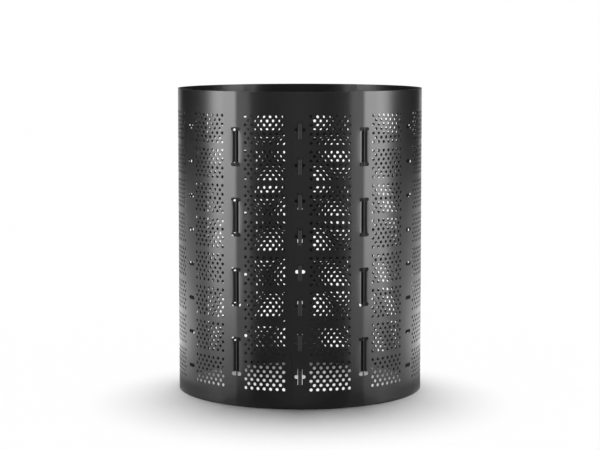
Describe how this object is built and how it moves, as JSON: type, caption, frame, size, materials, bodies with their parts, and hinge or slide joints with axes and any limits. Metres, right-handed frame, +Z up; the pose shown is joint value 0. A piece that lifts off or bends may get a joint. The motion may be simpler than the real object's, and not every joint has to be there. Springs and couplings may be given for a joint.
{
  "type": "compost bin",
  "caption": "Round open compost bin of perforated sheet steel: lapped wall sheets hooked together by locking bars, with stay rods down the folds.",
  "frame": {"origin": "on the ground, on the upright axis of the bin", "axes": "+Z up along the bin's axis; -Y is the front, where the first lap and its locking bar are; +X to the right seen from the front"},
  "size_m": [0.73, 0.7328, 0.9],
  "materials": {
    "wall_paint": "satin black powder coat",
    "rod_paint": "satin black powder coat",
    "bar_paint": "satin black powder coat"
  },
  "bodies": {
    "wall": {"wall_sheet_1": "wall_paint", "wall_sheet_2": "wall_paint", "wall_sheet_3": "wall_paint"},
    "rod_1": {"stay_rod_1": "rod_paint"},
    "rod_2": {"stay_rod_2": "rod_paint"},
    "rod_3": {"stay_rod_3": "rod_paint"},
    "rod_4": {"stay_rod_4": "rod_paint"},
    "rod_5": {"stay_rod_5": "rod_paint"},
    "rod_6": {"stay_rod_6": "rod_paint"},
    "bar_1": {"locking_bar_1": "bar_paint"},
    "bar_2": {"locking_bar_2": "bar_paint"},
    "bar_3": {"locking_bar_3": "bar_paint"}
  },
  "joints": [
    {"name": "rod_1_lift", "type": "slide", "parent": "wall", "child": "rod_1", "axis": [0, 0, 1], "range_m": [0, 0.9]},
    {"name": "rod_2_lift", "type": "slide", "parent": "wall", "child": "rod_2", "axis": [0, 0, 1], "range_m": [0, 0.9]},
    {"name": "rod_3_lift", "type": "slide", "parent": "wall", "child": "rod_3", "axis": [0, 0, 1], "range_m": [0, 0.9]},
    {"name": "rod_4_lift", "type": "slide", "parent": "wall", "child": "rod_4", "axis": [0, 0, 1], "range_m": [0, 0.9]},
    {"name": "rod_5_lift", "type": "slide", "parent": "wall", "child": "rod_5", "axis": [0, 0, 1], "range_m": [0, 0.9]},
    {"name": "rod_6_lift", "type": "slide", "parent": "wall", "child": "rod_6", "axis": [0, 0, 1], "range_m": [0, 0.9]},
    {"name": "bar_1_lift", "type": "slide", "parent": "wall", "child": "bar_1", "axis": [0, 0, 1], "range_m": [0, 0.005]},
    {"name": "bar_2_lift", "type": "slide", "parent": "wall", "child": "bar_2", "axis": [0, 0, 1], "range_m": [0, 0.005]},
    {"name": "bar_3_lift", "type": "slide", "parent": "wall", "child": "bar_3", "axis": [0, 0, 1], "range_m": [0, 0.005]}
  ]
}
